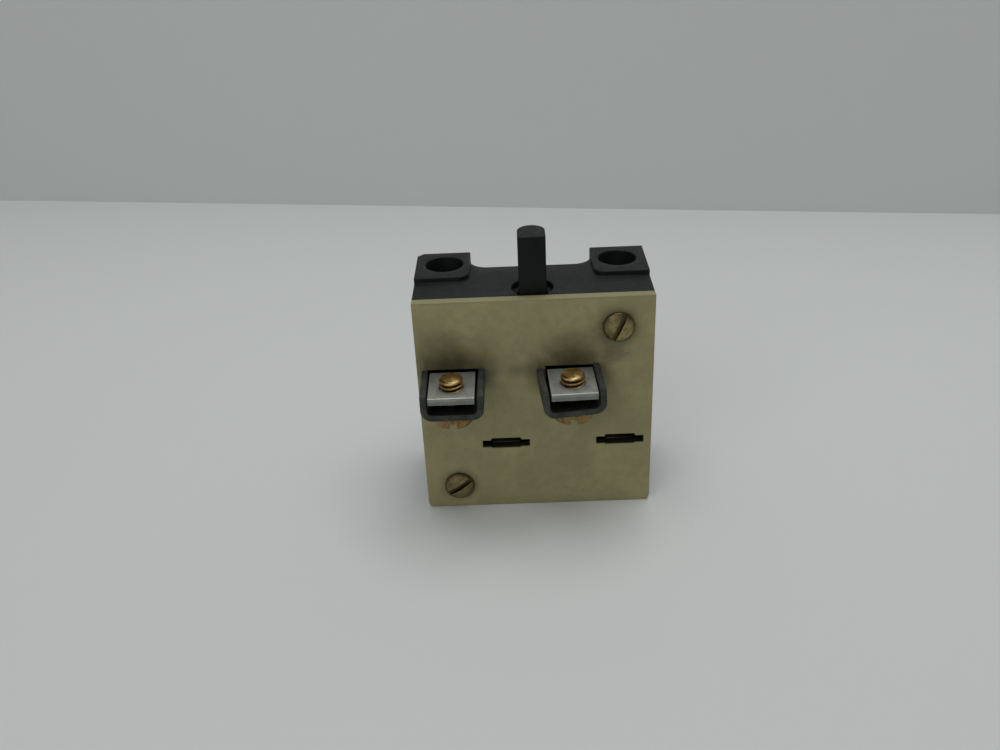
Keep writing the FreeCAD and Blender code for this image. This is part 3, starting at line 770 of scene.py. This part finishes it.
# Clamp plates. Square zinc-plated steel plates, sheared to size and tapped for
# the terminal screws; the sheared front edge has a smooth and a torn band.
def zinc_plate():
    """Dull zinc plating with a painted highlight on the top arris, and torn sheared edges."""
    material, tree, shader = new_material("dull_zinc")
    uneven = use_group(tree, MOTTLE, Patch_Scale=500.0, Fleck_Scale=2600.0, Grain_Scale=8000.0)
    scuffs = use_group(tree, SCUFFS, Scale=240.0, Amount=0.6)
    colour = blended(tree, uneven.outputs["Patch"], (0.265, 0.275, 0.245, 1), (0.35, 0.36, 0.325, 1))
    colour = blended(tree, scuffs.outputs["Mask"], colour, (0.46, 0.46, 0.44, 1))
    flecks = remapped(tree, uneven.outputs["Fleck"], 0.5, 1.0, 0.0, 0.35)
    colour = blended(tree, flecks, colour, (0.20, 0.20, 0.18, 1))
    geometry = add(tree, "NewGeometry")
    upright = add(tree, "SeparateXYZ", in_0=geometry.outputs["Normal"]).outputs["Z"]
    leaning = remapped(tree, upright, 0.15, 0.4)
    not_flat = remapped(tree, upright, 0.85, 0.97, 1.0, 0.0)
    arris = maths(tree, "MULTIPLY", leaning, not_flat)
    # Painted highlight along the top arris.
    arris_highlight = maths(tree, "MULTIPLY", arris, remapped(tree, uneven.outputs["Fleck"], 0.1, 0.6, 0.35, 0.95))
    colour = blended(tree, arris_highlight, colour, (0.72, 0.72, 0.69, 1))
    sheared = remapped(tree, maths(tree, "ABSOLUTE", upright), 0.05, 0.3, 1.0, 0.0)
    place = add(tree, "TexCoord").outputs["Object"]
    height = add(tree, "SeparateXYZ", in_0=place).outputs["Z"]
    wavy = maths(tree, "MULTIPLY", maths(tree, "SUBTRACT", noise(tree, place, 900.0), 0.5), 0.5 * MM)
    wavy_height = maths(tree, "ADD", height, wavy)
    torn = remapped(tree, wavy_height, TEAR_LINE - 0.08 * MM, TEAR_LINE + 0.08 * MM, 1.0, 0.0)
    torn = maths(tree, "MULTIPLY", torn, sheared)
    colour = blended(tree, maths(tree, "MULTIPLY", torn, 0.5), colour, (0.17, 0.17, 0.145, 1))
    tree.links.new(colour, shader.inputs["Base Color"])
    drifting_roughness(tree, shader, torn, 0.50, 0.66)
    shader.inputs["Metallic"].default_value = 0.60
    ragged = maths(tree, "MULTIPLY", torn, uneven.outputs["Fleck"])
    relief(tree, shader, maths(tree, "ADD", uneven.outputs["Grain"], ragged), 0.010 * MM)
    return material


PLATE_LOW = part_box("left_clamp_plate")[0][2]
TEAR_LINE = PLATE_LOW + 0.75 * MM
ZINC = zinc_plate()
for side in ("left", "right"):
    plate = eased(side + "_clamp_plate", side + "_clamp_plate_sheared", 0.14 * MM)
    dress(plate, ZINC, "plated_steel", side + "_clamp", side + "_clamp_plate")


# Terminal screws. Yellow-passivated steel, cheese head downwards with a wide
# slot, thread rolled to the end and running up through the tapped plate.
PITCH = 25.4 / 32 * MM
THREAD_R = 2.085 * MM
THREAD_CORE = 1.56 * MM
THREAD_ROWS_PER_PITCH = 16
THREAD_SHARPNESS = 2.3
THREAD_CREST = 1.35
THREAD_TIP_R = 1.75 * MM
THREAD_TIP_SLOPE = 0.9


def thread_radius(angle, height, top):
    """Radius of a right-hand thread at an angle and height, tapering at its end."""
    phase = (height / PITCH - angle / (2 * math.pi)) % 1.0
    ridge = max(0.0, 1.0 - abs(phase - 0.5) * THREAD_SHARPNESS)
    ridge = min(1.0, ridge * THREAD_CREST)
    radius = THREAD_CORE + (THREAD_R - THREAD_CORE) * ridge
    return min(radius, THREAD_TIP_R + (top - height) * THREAD_TIP_SLOPE)


def passivated_steel():
    """Yellow zinc passivation that drifts between gold, pink and green, with painted shade below the plate
    and in the thread grooves.
    """
    material, tree, shader = new_material("yellow_passivated")
    uneven = use_group(tree, MOTTLE, Patch_Scale=480.0, Fleck_Scale=1500.0, Grain_Scale=9000.0)
    place = add(tree, "TexCoord").outputs["Object"]
    colour = blended(tree, uneven.outputs["Patch"], (0.50, 0.29, 0.11, 1), (0.46, 0.34, 0.13, 1))
    pinkish = remapped(tree, noise(tree, place, 700.0), 0.52, 0.70, 0.0, 0.65)
    colour = blended(tree, pinkish, colour, (0.42, 0.23, 0.17, 1))
    greenish = remapped(tree, noise(tree, place, 560.0, 2.0), 0.56, 0.72, 0.0, 0.55)
    colour = blended(tree, greenish, colour, (0.33, 0.37, 0.14, 1))
    scuffs = use_group(tree, SCUFFS, Scale=320.0, Amount=0.6)
    colour = blended(tree, scuffs.outputs["Mask"], colour, (0.60, 0.56, 0.44, 1))
    dirt = remapped(tree, uneven.outputs["Fleck"], 0.62, 1.0, 0.0, 0.55)
    colour = blended(tree, dirt, colour, (0.10, 0.07, 0.035, 1))
    height = add(tree, "SeparateXYZ", in_0=place).outputs["Z"]
    # Painted shade on the screw below the clamp plate, lighter on the head.
    clamped = remapped(tree, height, PLATE_LOW - 0.1 * MM, PLATE_LOW + 0.3 * MM, 1.0, 0.0)
    above_head = remapped(tree, height, HEAD_TOP, HEAD_TOP + 0.5 * MM, 0.45, 0.9)
    below_plate_shade = maths(tree, "MULTIPLY", clamped, above_head)
    colour = blended(tree, below_plate_shade, colour, (0.03, 0.022, 0.012, 1))
    axes = [(x, FACE_Y - SCREW_REACH, 0) for x in TERMINAL_X.values()]
    radius = maths(tree, "MINIMUM", *[off_axis(tree, place, axis, (1, 1, 0)) for axis in axes])
    # Painted shade in the thread grooves.
    groove = remapped(tree, radius, THREAD_CORE + 0.08 * MM, THREAD_R - 0.10 * MM, 0.85, 0.0)
    below_tip = maths(tree, "LESS_THAN", height, THREAD_END - 0.12 * MM)
    colour = blended(tree, maths(tree, "MULTIPLY", groove, below_tip), colour, (0.035, 0.026, 0.012, 1))
    tree.links.new(colour, shader.inputs["Base Color"])
    drifting_roughness(tree, shader, uneven.outputs["Patch"], 0.30, 0.48)
    shader.inputs["Metallic"].default_value = 1.0
    relief(tree, shader, uneven.outputs["Grain"], 0.006 * MM)
    return material


HEAD_R = 3.45 * MM
HEAD_HEIGHT = 1.95 * MM
HEAD_ROUND = 0.5 * MM
HEAD_EDGE = 0.12 * MM
HEAD_SLOT_WIDTH = 1.3 * MM
HEAD_SLOT_DEPTH = 1.2 * MM
HEAD_CUTTER_LENGTH = 9 * MM
HEAD_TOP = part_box("left_terminal_screw")[0][2] + HEAD_HEIGHT
THREAD_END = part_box("left_terminal_screw")[1][2]
PASSIVATED = passivated_steel()
for side in ("left", "right"):
    low, high = corners(side + "_terminal_screw")
    head_top = low.z + HEAD_HEIGHT
    profile = [(0, low.z)]
    profile += rounded_corner(HEAD_R - HEAD_ROUND, low.z + HEAD_ROUND, HEAD_ROUND, -90, 0)
    profile += rounded_corner(HEAD_R - HEAD_EDGE, head_top - HEAD_EDGE, HEAD_EDGE, 0, 90, 2)
    profile.append((THREAD_R, head_top))
    rows = int((high.z - head_top) / PITCH * THREAD_ROWS_PER_PITCH)
    for row in range(1, rows):
        profile.append((THREAD_R, head_top + (high.z - head_top) * row / rows))
    profile += [(THREAD_TIP_R, high.z), (0, high.z)]
    screw = turned(side + "_terminal_screw_threaded", profile, steps=64)
    for vertex in screw.data.vertices:
        radius = math.hypot(vertex.co.x, vertex.co.y)
        if vertex.co.z > head_top + 1e-6 and radius > THREAD_CORE / 2:
            angle = math.atan2(vertex.co.y, vertex.co.x)
            new_radius = thread_radius(angle, vertex.co.z, high.z)
            vertex.co.x *= new_radius / radius
            vertex.co.y *= new_radius / radius
    slot_size = (HEAD_SLOT_WIDTH, HEAD_CUTTER_LENGTH, 2 * HEAD_SLOT_DEPTH)
    cut_with(screw, cutter(slot_size, (0, 0, low.z)))
    screw.data.transform(Matrix.Translation(((low.x + high.x) / 2, (low.y + high.y) / 2, 0)))
    bpy.ops.object.shade_smooth_by_angle(angle=math.radians(30))
    dress(screw, PASSIVATED, "passivated_screw", side + "_screw", side + "_terminal_screw")


# Blade jaws. Bronze spring strip folded into two leaves that grip a blade, with
# the back bent up and over to carry the fixed contact.
BRONZE = worn_metal("spring_bronze", (0.17, 0.135, 0.09, 1), (0.085, 0.070, 0.050, 1), 0.38, 0.55)
for side in ("left", "right"):
    jaw = eased(side + "_blade_jaw", side + "_blade_jaw_strip", 0.08 * MM, segments=2)
    dress(jaw, BRONZE, "spring_bronze", "housing", side + "_blade_jaw")


# Contact bridges and tips. A copper bar lies across each carrier window; silver
# discs are brazed below its ends and on the terminal and jaw feet facing them.
COPPER = worn_metal("contact_copper", (0.72, 0.42, 0.28, 1), (0.52, 0.31, 0.21, 1), 0.28, 0.45)
SILVER = worn_metal("contact_silver", (0.82, 0.82, 0.79, 1), (0.60, 0.60, 0.58, 1), 0.20, 0.38, grime=0.7)
for side in ("left", "right"):
    bar = eased(side + "_contact_bridge", side + "_contact_bar", 0.12 * MM)
    dress(bar, COPPER, "copper_bar", side + "_bridge", side + "_contact_bridge")
    tips = (("_bridge_tips", side + "_bridge"), ("_terminal_tip", "housing"), ("_jaw_tip", "housing"))
    for node, body in tips:
        tip = eased(side + node, side + node + "_silver", 0.12 * MM)
        dress(tip, SILVER, "silver_contact", body, side + node)


# Springs. Drawn steel wire, close-wound at both ends. The long one lifts the
# carrier, and a short one in each window presses the bridge down.
STEPS_PER_TURN = 24


def coil(name, centre, radius, wire_r, low, high, turns):
    """A wire helix with a closed turn at each end, made into a mesh."""
    path = []
    count = turns * STEPS_PER_TURN
    closed = 2 * wire_r / (high - low - 2 * wire_r)
    for step in range(count + 1):
        turn = step * turns / count
        if turn < 1:
            share = closed * turn
        elif turn > turns - 1:
            share = 1 - closed * (turns - turn)
        else:
            share = closed + (1 - 2 * closed) * (turn - 1) / (turns - 2)
        angle = 2 * math.pi * turn
        z = low + wire_r + share * (high - low - 2 * wire_r)
        path.append((centre.x + radius * math.cos(angle), centre.y + radius * math.sin(angle), z, 1))
    curve = bpy.data.curves.new(name, "CURVE")
    curve.dimensions = "3D"
    curve.bevel_depth = wire_r
    curve.bevel_resolution = 3
    curve.use_fill_caps = True
    spline = curve.splines.new("POLY")
    spline.points.add(count)
    for point, place in zip(spline.points, path):
        point.co = place
    pick(linked(name, curve))
    bpy.ops.object.convert(target="MESH")
    wire = bpy.context.object
    bpy.ops.object.mode_set(mode="EDIT")
    bpy.ops.mesh.select_all(action="SELECT")
    bpy.ops.mesh.remove_doubles(threshold=1e-7)
    bpy.ops.mesh.normals_make_consistent(inside=False)
    bpy.ops.object.mode_set(mode="OBJECT")
    bpy.ops.object.shade_smooth_by_angle(angle=math.radians(50))
    return wire


def spring_from(node, name, wire_r, turns):
    """A wire spring that fills a design spring's box, with the box's corners."""
    low, high = corners(node)
    radius = (high.x - low.x) / 2 - wire_r
    return coil(name, (low + high) / 2, radius, wire_r, low.z, high.z, turns), low, high


LIFTER_WIRE_R = 0.22 * MM
LIFTER_TURNS = 10
PRESSER_WIRE_R = 0.17 * MM
PRESSER_TURNS = 5
lifter, low, high = spring_from("return_spring", "return_spring_wire", LIFTER_WIRE_R, LIFTER_TURNS)
dress(lifter, STEEL, "spring_steel", "housing", "return_spring")
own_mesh(lifter)
for side in ("left", "right"):
    node = side + "_contact_spring"
    presser, low, high = spring_from(node, node + "_wire", PRESSER_WIRE_R, PRESSER_TURNS)
    dress(presser, STEEL, "spring_steel", "plunger", node)
    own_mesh(presser)
